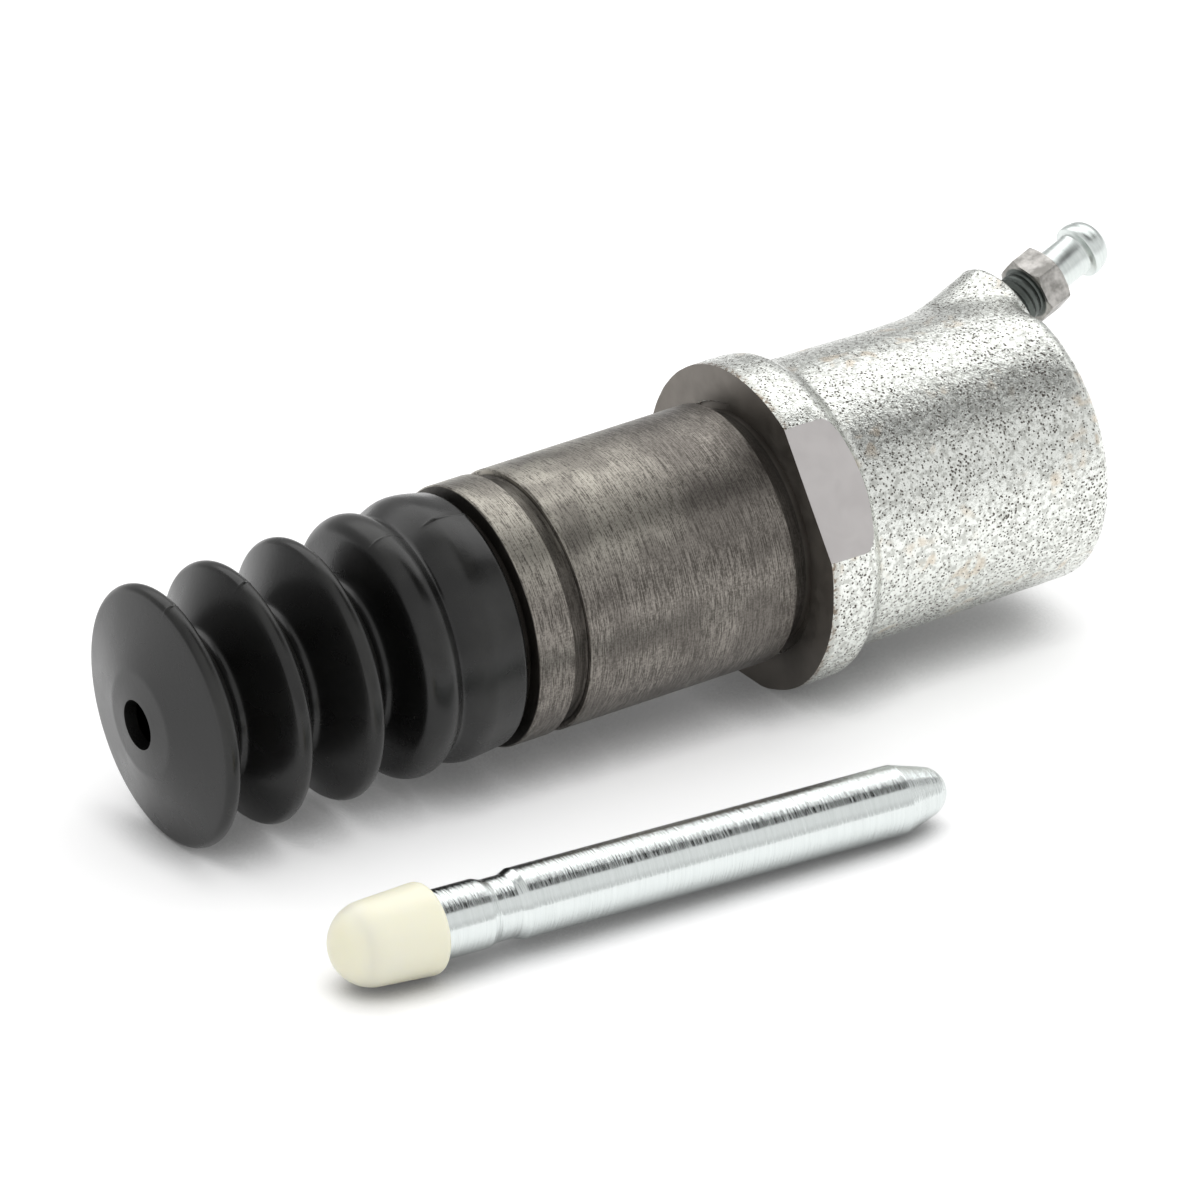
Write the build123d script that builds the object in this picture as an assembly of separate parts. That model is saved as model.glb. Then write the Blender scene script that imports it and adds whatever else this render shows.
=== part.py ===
from build123d import *
import os
from math import acos, atan, atan2, cos, degrees, hypot, radians, sin, sqrt, tan

# A clutch slave cylinder lying on a table, with its push rod taken out and laid beside it.
# Millimetres. +X runs along the bore from the boot to the rear, +Z is up, and the origin is on the
# bore's axis at the flange's seating face. The whole cylinder is clocked about X by BLEED_LEAN.

# Driving sizes: barrel and nose
BARREL_R = 19.0
BARREL_LENGTH = 45.2
FRONT_LAND = 5.9
RING_GROOVE_WIDTH = 2.5
RING_GROOVE_DEPTH = 1.3
UNDERCUT_LENGTH = 3.0
UNDERCUT_DEPTH = 1.8
FACE_GROOVE_DEPTH = 0.7
FACE_GROOVE_WIDTH = 1.2
EDGE_BREAK = 0.3
NOSE_R = 16.4
NOSE_LENGTH = 10.0
BEAD_GROOVE_WIDTH = 3.0
BEAD_GROOVE_DEPTH = 1.2
BEAD_GROOVE_SETBACK = 2.6

# Driving sizes: flange
FLANGE_STEP = 2.65
FLANGE_LAND = 5.7
FLANGE_DRAFT = 0.3
FLANGE_ROUND = 3.5
FLANGE_BACK_SLOPE = 0.1
FLAT_STEP = 0.6

# Driving sizes: cast rear body
BODY_R = 21.2
REAR_WALL = 21.85
BODY_DRAFT = 0.25
BODY_ROUND = 3.0
FLANGE_FILLET = 2.0

# Driving sizes: bleed boss, leaning outward from the body's axis
BLEED_LEAN = 33.3
BOSS_TILT = 17.7
BOSS_R = 7.8
BOSS_OVERHANG = 1.5
BOSS_INSET = 3.6
BOSS_BLEND = 4.0

# Driving sizes: bore and what it holds
BORE_R = 11.1
BORE_END_LEDGE_R = 7.0
BORE_END_CONE = 3.0
MOUTH_CHAMFER = 0.8
CIRCLIP_SETBACK = 2.6
CIRCLIP_THICKNESS = 1.0
CIRCLIP_GROOVE_DEPTH = 0.55
CIRCLIP_BAND = 1.7
CIRCLIP_EAR_R = 2.0
CIRCLIP_EAR_HOLE_R = 0.8
CIRCLIP_EAR_ANGLE = 17.0
CIRCLIP_EAR_INSET = 2.6
CIRCLIP_GAP = 1.4
WASHER_THICKNESS = 1.5
WASHER_HOLE_ROOM = 1.6
PISTON_LENGTH = 24.0
SOCKET_ROOM = 0.6
SOCKET_DEPTH = 9.0
SOCKET_SEAT_ROOM = 0.35
SEAL_GROOVE_WIDTH = 3.8
SEAL_GROOVE_DEPTH = 2.65
SEAL_LIP_SHARE = 0.3
PISTON_REAR_LAND = 1.3
RELIEF_WIDTH = 7.0
RELIEF_DEPTH = 0.7
SEAT_R = 7.4
SEAT_THICKNESS = 1.6
SEAT_STUB_R = 3.0
SEAT_STUB_LENGTH = 3.0
SEAT_PILOT_R = 4.0
SEAT_PILOT_LENGTH = 3.4
PISTON_STROKE = 26.0
SPRING_ROOM = 26.4
SPRING_WIRE_R = 0.75
SPRING_TURNS = 7
SPRING_PILOT_ROOM = 0.55
SPRING_BORE_ROOM = 0.95

# Driving sizes: inlet port at the rear, and bleed drilling
PORT_R = 5.46
PORT_DEPTH = 12.0
PORT_CHAMFER = 0.9
PORT_DRILL_R = 1.75
BLEED_THREAD_R = 3.6
BLEED_THREAD_DEPTH = 11.0
BLEED_DRILL_R = 1.25
BLEED_SEAT_CONE = 2.3

# Driving sizes: bleed screw, from the boss face outward
SCREW_SHANK_OUT = 5.3
SCREW_HEX_ACROSS = 9.0
SCREW_HEX_LENGTH = 4.2
SCREW_HEX_CHAMFER = 0.35
SCREW_HEX_TURN = 48.2
SCREW_STEM_R = 2.3
SCREW_STEM_LENGTH = 3.0
SCREW_TIP_R = 0.8
SCREW_NECK_R = 3.1
SCREW_NECK_LENGTH = 6.3
SCREW_BARB_R = 4.05
SCREW_BARB_LENGTH = 1.4
SCREW_DOME_LENGTH = 2.2
SCREW_DOME_END_R = 2.6
SCREW_DOME_ROUND = 3.6
SCREW_BORE_R = 1.2
SCREW_CROSS_R = 0.8

# Driving sizes: rubber boot
BOOT_RIM_R = 18.9
BOOT_RIM_ROUND = 1.3
BOOT_VALLEY_R = 11.0
BOOT_VALLEY_ROUND = 1.1
BOOT_PITCH = 11.5
BOOT_PLEATS = 4
BOOT_LAST_RIM_AHEAD = 4.3
BOOT_NOSE_DEPTH = 4.5
BOOT_CREASE_R = 6.5
BOOT_CREASE_BACK = 0.35
BOOT_CREASE_ROUND = 6.0
BOOT_HOLE_GRIP = 1.1
BOOT_NOSE_WALL = 1.8
BOOT_WALL = 1.3
BOOT_RIM_WALL = 2.4
BOOT_INNER_ROUND = 0.5
BOOT_LAST_ROUND = 2.4
BOOT_CUFF_VALLEY_DEPTH = 1.3
BOOT_CUFF_VALLEY_BACK = 3.0
BOOT_CUFF_WALL = 2.5
BOOT_CUFF_GAP = 1.3
BOOT_CUFF_EDGE = 0.6
BOOT_CUFF_RISE = 3.6
BOOT_CUFF_CROWN = 3.0
BOOT_CUFF_NARROWING = 0.2

# Driving sizes: push rod and cap, measured from the cap's tip
ROD_LENGTH = 98.7
ROD_R = 5.0
ROD_LAND_STEP = 0.1
ROD_RECESS_DEPTH = 0.55
ROD_RECESS_START = 22.8
ROD_RECESS_END = 28.8
ROD_RECESS_SLOPE = 1.4
ROD_CONE_START = 90.7
ROD_NOSE_R = 3.65
ROD_END_CHAMFER = 0.8
CAP_LENGTH = 15.0
CAP_RIM_WALL = 1.6
CAP_DOME_WALL = 1.1
CAP_RIM_ROUND = 0.9
CAP_WALL_END = 3.2
ROD_BESIDE = 53.1
ROD_TIP_AHEAD = 1.6
ROD_HEADING = 0.4

# Clearances
BOOT_FIT = 0.05
CIRCLIP_FIT = 0.05
WASHER_FIT = 0.1
PISTON_FIT = 0.05
SEAL_FIT = 0.03
SEAT_FIT = 0.05
SPRING_FIT = 0.05
SCREW_FIT = 0.05
SCREW_TIP_GAP = 0.1
CAP_FIT = 0.02
THROUGH = 1.0

# Radii that follow from the sizes
FACE_GROOVE_R = BARREL_R - UNDERCUT_DEPTH + FACE_GROOVE_WIDTH
FLANGE_R = BODY_R + FLANGE_STEP
FLANGE_REACH = FLANGE_R + FLANGE_LAND * tan(radians(FLANGE_DRAFT))
FLAT_OFFSET = BODY_R + FLAT_STEP
BOSS_FACE_OFFSET = BODY_R - BOSS_INSET
ROD_CAP_END_R = ROD_R - ROD_LAND_STEP
ROD_RECESS_R = ROD_R - ROD_RECESS_DEPTH
CAP_RIM_R = ROD_CAP_END_R + CAP_RIM_WALL
CAP_DOME_R = ROD_CAP_END_R + CAP_DOME_WALL
SOCKET_R = ROD_R + SOCKET_ROOM
SOCKET_SEAT_R = ROD_NOSE_R + SOCKET_SEAT_ROOM
WASHER_HOLE_R = SOCKET_R + WASHER_HOLE_ROOM
SEAL_GROOVE_R = BORE_R - PISTON_FIT - SEAL_GROOVE_DEPTH
SPRING_SMALL_R = SEAT_PILOT_R + SPRING_PILOT_ROOM + SPRING_WIRE_R
SPRING_LARGE_R = BORE_R - SPRING_BORE_ROOM - SPRING_WIRE_R
BOOT_HOLE_R = ROD_RECESS_R - BOOT_HOLE_GRIP
BOOT_CUFF_R = NOSE_R + BOOT_CUFF_WALL
BOOT_CUFF_VALLEY_R = BOOT_CUFF_R - BOOT_CUFF_VALLEY_DEPTH
BOOT_CUFF_END_R = BOOT_CUFF_R - BOOT_CUFF_NARROWING

# Places along X that follow from the sizes
SHOULDER_X = -BARREL_LENGTH
NOSE_X = SHOULDER_X - NOSE_LENGTH
CIRCLIP_FRONT_X = NOSE_X + CIRCLIP_SETBACK
CIRCLIP_REAR_X = CIRCLIP_FRONT_X + CIRCLIP_THICKNESS
WASHER_X = CIRCLIP_REAR_X + CIRCLIP_FIT
PISTON_X = WASHER_X + WASHER_THICKNESS
PISTON_REAR_X = PISTON_X + PISTON_LENGTH
SEAT_X = PISTON_REAR_X
SEAT_REAR_X = SEAT_X + SEAT_THICKNESS
BORE_END_X = SEAT_REAR_X + PISTON_STROKE + SPRING_ROOM
BODY_LENGTH = BORE_END_X + REAR_WALL
BOSS_FACE_X = BODY_LENGTH + BOSS_OVERHANG
BEAD_GROOVE_X = NOSE_X + BEAD_GROOVE_SETBACK
CUFF_END_X = SHOULDER_X - BOOT_CUFF_GAP
FIRST_RIM_X = NOSE_X - BOOT_LAST_RIM_AHEAD - (BOOT_PLEATS - 1) * BOOT_PITCH
BOOT_NOSE_X = FIRST_RIM_X - BOOT_NOSE_DEPTH
ROD_TIP_X = BOOT_NOSE_X - ROD_TIP_AHEAD

# The table under the boot's first pleat and the flange slopes by this angle against the bore's axis
TABLE_SLOPE = atan((FLANGE_REACH - BOOT_RIM_R) / (FLANGE_LAND - FIRST_RIM_X))


def revolved(*outline):
    """A closed outline of (x, radius) points turned about the X axis."""
    face = make_face(Polyline(*outline, close=True))
    return revolve(face, Axis.X, 360)


def disc(x_start, x_end, radius):
    """A plain round bar along X."""
    return revolved((x_start, 0), (x_end, 0), (x_end, radius), (x_start, radius))


def tube(x_start, x_end, inner_r, outer_r):
    """A ring along X."""
    return revolved((x_start, inner_r), (x_end, inner_r), (x_end, outer_r), (x_start, outer_r))


def tangent_outline(circles, first_normal=None, last_normal=None):
    """Lines and arcs that touch each circle in turn, from low X to high X.

    Each circle is (x, radius from the axis, signed round): a positive round bulges outward, a
    negative one is a hollow, and zero is a plain corner. The normals close the two end arcs.
    """
    normals = [first_normal]
    for (x1, r1, s1), (x2, r2, s2) in zip(circles, circles[1:]):
        lean = atan2(r2 - r1, x2 - x1) + acos((s1 - s2) / hypot(x2 - x1, r2 - r1))
        normals.append((cos(lean), sin(lean)))
    normals.append(last_normal)
    edges = []
    last_point = None
    for (x, r, s), before, after in zip(circles, normals, normals[1:]):
        before = before or after
        after = after or before
        start = (x + s * before[0], r + s * before[1])
        end = (x + s * after[0], r + s * after[1])
        if last_point:
            edges.append(Line(last_point, start))
        if hypot(end[0] - start[0], end[1] - start[1]) > 1e-6:
            half = (atan2(before[1], before[0]) + atan2(after[1], after[0])) / 2
            edges.append(ThreePointArc(start, (x + s * cos(half), r + s * sin(half)), end))
        last_point = end
    return edges


def outline_ends(edges):
    return edges[0] @ 0, edges[-1] @ 1


def clocked(shape):
    """Turns a shape drawn with its bleed side up to the way the cylinder lies."""
    return Rot(-BLEED_LEAN, 0, 0) * shape


def boss_place():
    """The bleed boss's face: local +X points out of the boss, before clocking."""
    return Pos(BOSS_FACE_X, 0, BOSS_FACE_OFFSET) * Rot(0, -BOSS_TILT, 0)


def turned_front():
    """Boot nose, shoulder, snap ring groove, barrel and undercut, up to the flange's face."""
    groove_front = SHOULDER_X + FRONT_LAND
    groove_rear = groove_front + RING_GROOVE_WIDTH
    groove_r = BARREL_R - RING_GROOVE_DEPTH
    undercut_r = BARREL_R - UNDERCUT_DEPTH
    bead_rear = BEAD_GROOVE_X + BEAD_GROOVE_WIDTH
    bead_r = NOSE_R - BEAD_GROOVE_DEPTH
    slope_end = -UNDERCUT_LENGTH + UNDERCUT_DEPTH / 2
    return revolved(
        (NOSE_X, 0),
        (NOSE_X, NOSE_R - MOUTH_CHAMFER),
        (NOSE_X + MOUTH_CHAMFER, NOSE_R),
        (BEAD_GROOVE_X, NOSE_R),
        (BEAD_GROOVE_X, bead_r),
        (bead_rear, bead_r),
        (bead_rear, NOSE_R),
        (SHOULDER_X, NOSE_R),
        (SHOULDER_X, BARREL_R - EDGE_BREAK),
        (SHOULDER_X + EDGE_BREAK, BARREL_R),
        (groove_front - EDGE_BREAK, BARREL_R),
        (groove_front, BARREL_R - EDGE_BREAK),
        (groove_front, groove_r),
        (groove_rear, groove_r),
        (groove_rear, BARREL_R - EDGE_BREAK),
        (groove_rear + EDGE_BREAK, BARREL_R),
        (-UNDERCUT_LENGTH, BARREL_R),
        (slope_end, undercut_r),
        (FACE_GROOVE_DEPTH, undercut_r),
        (FACE_GROOVE_DEPTH, 0),
    )


def flange_and_body():
    """The flange with its rounded back, the hollow behind it and the drafted cast body."""
    draft = radians(FLANGE_DRAFT)
    rear_r = BODY_R - BODY_LENGTH * tan(radians(BODY_DRAFT))
    round_r = FLANGE_REACH - FLANGE_ROUND
    hollow_r = BODY_R + FLANGE_FILLET
    centres_apart = FLANGE_ROUND + FLANGE_FILLET + FLANGE_BACK_SLOPE
    hollow_x = FLANGE_LAND + sqrt(centres_apart**2 - (hollow_r - round_r) ** 2)
    circles = [
        (FLANGE_LAND, round_r, FLANGE_ROUND),
        (hollow_x, hollow_r, -FLANGE_FILLET),
        (BODY_LENGTH - BODY_ROUND, rear_r - BODY_ROUND, BODY_ROUND),
    ]
    outside = tangent_outline(circles, first_normal=(-sin(draft), cos(draft)), last_normal=(1, 0))
    start, end = outline_ends(outside)
    inside = Polyline(
        end,
        (BODY_LENGTH, 0),
        (FACE_GROOVE_DEPTH, 0),
        (FACE_GROOVE_DEPTH, FACE_GROOVE_R),
        (0, FACE_GROOVE_R),
        (0, FLANGE_R - EDGE_BREAK),
        (EDGE_BREAK, FLANGE_R),
        start,
    )
    return revolve(make_face([*outside, inside]), Axis.X, 360)


def bleed_boss():
    """The round boss that leans out of the body's top, rooted inside the body."""
    reach = BOSS_FACE_OFFSET / sin(radians(BOSS_TILT)) / 2
    boss = disc(-reach, 0, BOSS_R)
    return boss_place() * boss


def bore_space():
    """What the boring bar and the drills remove along the main axis."""
    circlip_r = BORE_R + CIRCLIP_GROOVE_DEPTH
    return revolved(
        (NOSE_X - THROUGH, 0),
        (NOSE_X - THROUGH, BORE_R + MOUTH_CHAMFER + THROUGH),
        (NOSE_X + MOUTH_CHAMFER, BORE_R),
        (CIRCLIP_FRONT_X - CIRCLIP_FIT, BORE_R),
        (CIRCLIP_FRONT_X - CIRCLIP_FIT, circlip_r),
        (CIRCLIP_REAR_X + CIRCLIP_FIT, circlip_r),
        (CIRCLIP_REAR_X + CIRCLIP_FIT, BORE_R),
        (BORE_END_X, BORE_R),
        (BORE_END_X, BORE_END_LEDGE_R),
        (BORE_END_X + BORE_END_CONE, PORT_DRILL_R),
        (BODY_LENGTH - PORT_DEPTH, PORT_DRILL_R),
        (BODY_LENGTH - PORT_DEPTH, PORT_R),
        (BODY_LENGTH - PORT_CHAMFER, PORT_R),
        (BODY_LENGTH + THROUGH, PORT_R + PORT_CHAMFER + THROUGH),
        (BODY_LENGTH + THROUGH, 0),
    )


def bleed_drilling():
    """Threaded hole, conical seat and drilling from the boss face into the end of the bore."""
    seat_end = -BLEED_THREAD_DEPTH - BLEED_SEAT_CONE
    drill_end = -(BOSS_FACE_OFFSET - BORE_R + BLEED_DRILL_R * 2) / sin(radians(BOSS_TILT))
    return boss_place() * revolved(
        (drill_end, 0),
        (drill_end, BLEED_DRILL_R),
        (seat_end, BLEED_DRILL_R),
        (-BLEED_THREAD_DEPTH, BLEED_THREAD_R),
        (THROUGH, BLEED_THREAD_R),
        (THROUGH, 0),
    )


def flange_flats(shape):
    """Mills the two flats of the flange, square to the bleed side."""
    depth = FLANGE_REACH
    length = FLANGE_LAND + FLANGE_ROUND
    for side in (-1, 1):
        cutter = Box(length + THROUGH, depth, 4 * FLANGE_REACH)
        shape -= Pos((length - THROUGH) / 2, side * (FLAT_OFFSET + depth / 2), 0) * cutter
    return shape


def casting():
    """Flange, body and boss in one, with the boss blended into the body all round."""
    body = flange_and_body()
    boss = bleed_boss()
    joined = body + boss
    seams = new_edges(body, boss, combined=joined)
    return fillet(seams, BOSS_BLEND)


def cylinder_body():
    cast = flange_flats(casting())
    body = cast + turned_front()
    body = body - bore_space() - bleed_drilling()
    return clocked(body)


def boot_outside():
    """Outer face of the boot: nose, pleats and the crowned cuff."""
    crease_x = BOOT_NOSE_X + BOOT_CREASE_BACK + BOOT_CREASE_ROUND
    circles = [(BOOT_NOSE_X, BOOT_HOLE_R, 0), (crease_x, BOOT_CREASE_R, BOOT_CREASE_ROUND)]
    for i in range(BOOT_PLEATS):
        last = i == BOOT_PLEATS - 1
        rim_x = FIRST_RIM_X + i * BOOT_PITCH
        rim_round = BOOT_LAST_ROUND if last else BOOT_RIM_ROUND
        circles.append((rim_x, BOOT_RIM_R - rim_round, rim_round))
        valley_r = BOOT_CUFF_VALLEY_R if last else BOOT_VALLEY_R
        valley_x = rim_x + (BOOT_CUFF_VALLEY_BACK if last else BOOT_PITCH / 2)
        circles.append((valley_x, valley_r + BOOT_VALLEY_ROUND, -BOOT_VALLEY_ROUND))
    crown_x = valley_x + BOOT_CUFF_RISE
    circles.append((crown_x, BOOT_CUFF_R - BOOT_CUFF_CROWN, BOOT_CUFF_CROWN))
    end_r = BOOT_CUFF_END_R - BOOT_CUFF_EDGE
    circles.append((CUFF_END_X - BOOT_CUFF_EDGE, end_r, BOOT_CUFF_EDGE))
    return tangent_outline(circles, last_normal=(1, 0))


def boot_inside():
    """Inner face of the boot, up to where it meets the front of the cylinder's nose."""
    crease_x = BOOT_NOSE_X + BOOT_CREASE_BACK + BOOT_CREASE_ROUND
    inner_round = BOOT_CREASE_ROUND - BOOT_NOSE_WALL
    circles = [
        (BOOT_NOSE_X + BOOT_NOSE_WALL, BOOT_HOLE_R, 0),
        (crease_x, BOOT_CREASE_R, inner_round),
    ]
    inner_rim_r = BOOT_RIM_R - BOOT_RIM_WALL - BOOT_INNER_ROUND
    valley_round = BOOT_VALLEY_ROUND + BOOT_WALL
    for i in range(BOOT_PLEATS):
        rim_x = FIRST_RIM_X + i * BOOT_PITCH
        circles.append((rim_x, inner_rim_r, BOOT_INNER_ROUND))
        if i < BOOT_PLEATS - 1:
            valley_x = rim_x + BOOT_PITCH / 2
            circles.append((valley_x, BOOT_VALLEY_R + BOOT_VALLEY_ROUND, -valley_round))
    circles.append((NOSE_X - BOOT_FIT, NOSE_R + BOOT_FIT, 0))
    return tangent_outline(circles)


def dust_boot():
    """Bellows boot: its cuff sits on the nose, with an inner bead in the nose's groove."""
    outside = boot_outside()
    inside = boot_inside()
    outer_start, outer_end = outline_ends(outside)
    inner_start, inner_end = outline_ends(inside)
    seat_r = NOSE_R + BOOT_FIT
    bead_r = seat_r - BEAD_GROOVE_DEPTH
    bead_front = BEAD_GROOVE_X + BOOT_FIT
    bead_rear = BEAD_GROOVE_X + BEAD_GROOVE_WIDTH - BOOT_FIT
    seat = Polyline(
        inner_end,
        (bead_front, seat_r),
        (bead_front, bead_r),
        (bead_rear, bead_r),
        (bead_rear, seat_r),
        (CUFF_END_X, seat_r),
        outer_end,
    )
    face = make_face([Line(outer_start, inner_start), *outside, *inside, seat])
    return revolve(face, Axis.X, 360)


def retaining_ring():
    """Internal circlip with two eyes, sprung into the groove at the bore's mouth."""
    outer_r = BORE_R + CIRCLIP_GROOVE_DEPTH - CIRCLIP_FIT
    eye_at = outer_r - CIRCLIP_EAR_INSET
    ring = Circle(outer_r) - Circle(outer_r - CIRCLIP_BAND)
    holes = Sketch()
    for side in (-1, 1):
        eye = Rot(0, 0, 90 + side * CIRCLIP_EAR_ANGLE) * Pos(eye_at, 0)
        ring += eye * Circle(CIRCLIP_EAR_R)
        holes += eye * Circle(CIRCLIP_EAR_HOLE_R)
    gap = Pos(0, outer_r) * Rectangle(CIRCLIP_GAP, 2 * outer_r - 2 * WASHER_HOLE_R)
    flat = Plane.YZ.offset(CIRCLIP_FRONT_X) * (ring - holes - gap)
    return extrude(flat, CIRCLIP_THICKNESS)


def stop_washer():
    return tube(WASHER_X, PISTON_X, WASHER_HOLE_R, BORE_R - WASHER_FIT)


def piston():
    """Piston with a deep socket for the push rod, a relief, a seal groove and a seat recess."""
    skirt_r = BORE_R - PISTON_FIT
    seal_rear = PISTON_REAR_X - PISTON_REAR_LAND
    seal_front = seal_rear - SEAL_GROOVE_WIDTH
    relief_mid = (PISTON_X + seal_front) / 2
    relief_r = skirt_r - RELIEF_DEPTH
    cup_x = PISTON_X + SOCKET_DEPTH
    outline = [
        Polyline(
            (cup_x + SOCKET_SEAT_R, 0),
            (PISTON_REAR_X - SEAT_STUB_LENGTH, 0),
            (PISTON_REAR_X - SEAT_STUB_LENGTH, SEAT_STUB_R),
            (PISTON_REAR_X, SEAT_STUB_R),
            (PISTON_REAR_X, skirt_r - EDGE_BREAK),
            (PISTON_REAR_X - EDGE_BREAK, skirt_r),
            (seal_rear, skirt_r),
            (seal_rear, SEAL_GROOVE_R),
            (seal_front, SEAL_GROOVE_R),
            (seal_front, skirt_r),
            (relief_mid + RELIEF_WIDTH / 2, skirt_r),
            (relief_mid + RELIEF_WIDTH / 2 - RELIEF_DEPTH, relief_r),
            (relief_mid - RELIEF_WIDTH / 2 + RELIEF_DEPTH, relief_r),
            (relief_mid - RELIEF_WIDTH / 2, skirt_r),
            (PISTON_X + EDGE_BREAK, skirt_r),
            (PISTON_X, skirt_r - EDGE_BREAK),
            (PISTON_X, SOCKET_R + EDGE_BREAK),
            (PISTON_X + EDGE_BREAK, SOCKET_R),
            (cup_x - (SOCKET_R - SOCKET_SEAT_R), SOCKET_R),
            (cup_x, SOCKET_SEAT_R),
        ),
        CenterArc((cup_x, 0), SOCKET_SEAT_R, 0, 90),
    ]
    return revolve(make_face(outline), Axis.X, 360)


def piston_seal():
    """Cup seal whose two lips open toward the fluid at the rear."""
    seal_rear = PISTON_REAR_X - PISTON_REAR_LAND - SEAL_FIT
    seal_front = PISTON_REAR_X - PISTON_REAR_LAND - SEAL_GROOVE_WIDTH + SEAL_FIT
    inner_r = SEAL_GROOVE_R + SEAL_FIT
    outer_r = BORE_R - SEAL_FIT
    lip = (outer_r - inner_r) * SEAL_LIP_SHARE
    heel = (seal_front + seal_rear) / 2
    return revolved(
        (seal_front, inner_r),
        (seal_rear, inner_r),
        (seal_rear, inner_r + lip),
        (heel, (inner_r + outer_r) / 2),
        (seal_rear, outer_r - lip),
        (seal_rear, outer_r),
        (heel, outer_r),
        (seal_front, outer_r - lip),
    )


def spring_seat():
    """Turned seat: a stub in the piston's recess, a flange for the spring and a pilot in it."""
    stub_r = SEAT_STUB_R - SEAT_FIT
    stub_x = SEAT_X - SEAT_STUB_LENGTH + SEAT_FIT
    pilot_x = SEAT_REAR_X + SEAT_PILOT_LENGTH
    return revolved(
        (stub_x, 0),
        (stub_x, stub_r),
        (SEAT_X, stub_r),
        (SEAT_X, SEAT_R),
        (SEAT_REAR_X, SEAT_R),
        (SEAT_REAR_X, SEAT_PILOT_R),
        (pilot_x - EDGE_BREAK, SEAT_PILOT_R),
        (pilot_x, SEAT_PILOT_R - EDGE_BREAK),
        (pilot_x, 0),
    )


def return_spring():
    """Conical coil spring from the seat to the flat ledge at the blind end of the bore."""
    start_x = SEAT_REAR_X + SPRING_WIRE_R + SPRING_FIT
    length = BORE_END_X - SPRING_WIRE_R - SPRING_FIT - start_x
    flare = degrees(atan((SPRING_LARGE_R - SPRING_SMALL_R) / length))
    coil = Helix(
        pitch=length / SPRING_TURNS,
        height=length,
        radius=SPRING_SMALL_R,
        center=(start_x, 0, 0),
        direction=(1, 0, 0),
        cone_angle=flare,
    )
    wire = Plane(origin=coil @ 0, z_dir=coil % 0) * Circle(SPRING_WIRE_R)
    return sweep(wire, path=coil, is_frenet=True)


def screw_hexagon():
    """Hexagon of the bleed screw, turned slightly, with its corners chamfered at both ends."""
    flat = RegularPolygon(SCREW_HEX_ACROSS / 2, 6, major_radius=False, rotation=SCREW_HEX_TURN)
    block = extrude(Plane.YZ.offset(SCREW_SHANK_OUT) * flat, SCREW_HEX_LENGTH)
    corner_r = SCREW_HEX_ACROSS / 2 / cos(radians(30))
    end_r = corner_r - SCREW_HEX_CHAMFER / tan(radians(30))
    hex_end = SCREW_SHANK_OUT + SCREW_HEX_LENGTH
    blank = revolved(
        (SCREW_SHANK_OUT, 0),
        (SCREW_SHANK_OUT, end_r),
        (SCREW_SHANK_OUT + SCREW_HEX_CHAMFER, corner_r),
        (hex_end - SCREW_HEX_CHAMFER, corner_r),
        (hex_end, end_r),
        (hex_end, 0),
    )
    return block & blank


def screw_shank():
    """Threaded shank, stem and conical tip that closes on the seat in the boss."""
    shank_r = BLEED_THREAD_R - SCREW_FIT
    seat_slope = BLEED_SEAT_CONE / (BLEED_THREAD_R - BLEED_DRILL_R)
    stem_end = -BLEED_THREAD_DEPTH - (BLEED_THREAD_R - SCREW_STEM_R) * seat_slope + SCREW_TIP_GAP
    tip_end = stem_end - (SCREW_STEM_R - SCREW_TIP_R) * seat_slope
    thread_end = stem_end + SCREW_STEM_LENGTH
    shank = revolved(
        (tip_end, 0),
        (tip_end, SCREW_TIP_R),
        (stem_end, SCREW_STEM_R),
        (thread_end, SCREW_STEM_R),
        (thread_end + EDGE_BREAK, shank_r),
        (SCREW_SHANK_OUT, shank_r),
        (SCREW_SHANK_OUT, 0),
    )
    cross = Pos((stem_end + thread_end) / 2, 0, 0) * Cylinder(SCREW_CROSS_R, 4 * SCREW_STEM_R)
    return shank, cross


def screw_nipple():
    """Hose nipple: neck, barb ring and rounded end."""
    neck_x = SCREW_SHANK_OUT + SCREW_HEX_LENGTH
    barb_x = neck_x + SCREW_NECK_LENGTH
    dome_x = barb_x + SCREW_BARB_LENGTH
    end_x = dome_x + SCREW_DOME_LENGTH
    outline = [
        Polyline(
            (end_x, SCREW_DOME_END_R),
            (end_x, 0),
            (neck_x, 0),
            (neck_x, SCREW_NECK_R),
            (barb_x, SCREW_NECK_R),
            (barb_x, SCREW_BARB_R - EDGE_BREAK),
            (barb_x + EDGE_BREAK, SCREW_BARB_R),
            (dome_x - EDGE_BREAK, SCREW_BARB_R),
            (dome_x, SCREW_BARB_R - EDGE_BREAK),
        ),
        RadiusArc((dome_x, SCREW_BARB_R - EDGE_BREAK), (end_x, SCREW_DOME_END_R), SCREW_DOME_ROUND),
    ]
    return revolve(make_face(outline), Axis.X, 360), end_x


def bleed_screw():
    """Bleed screw in the boss, drilled from the nipple's end to a cross hole above its tip."""
    shank, cross = screw_shank()
    nipple, end_x = screw_nipple()
    drill_end = cross.center().X
    drill = disc(drill_end, end_x + THROUGH, SCREW_BORE_R)
    screw = shank + screw_hexagon() + nipple - drill - cross
    return clocked(boss_place() * screw)


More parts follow.
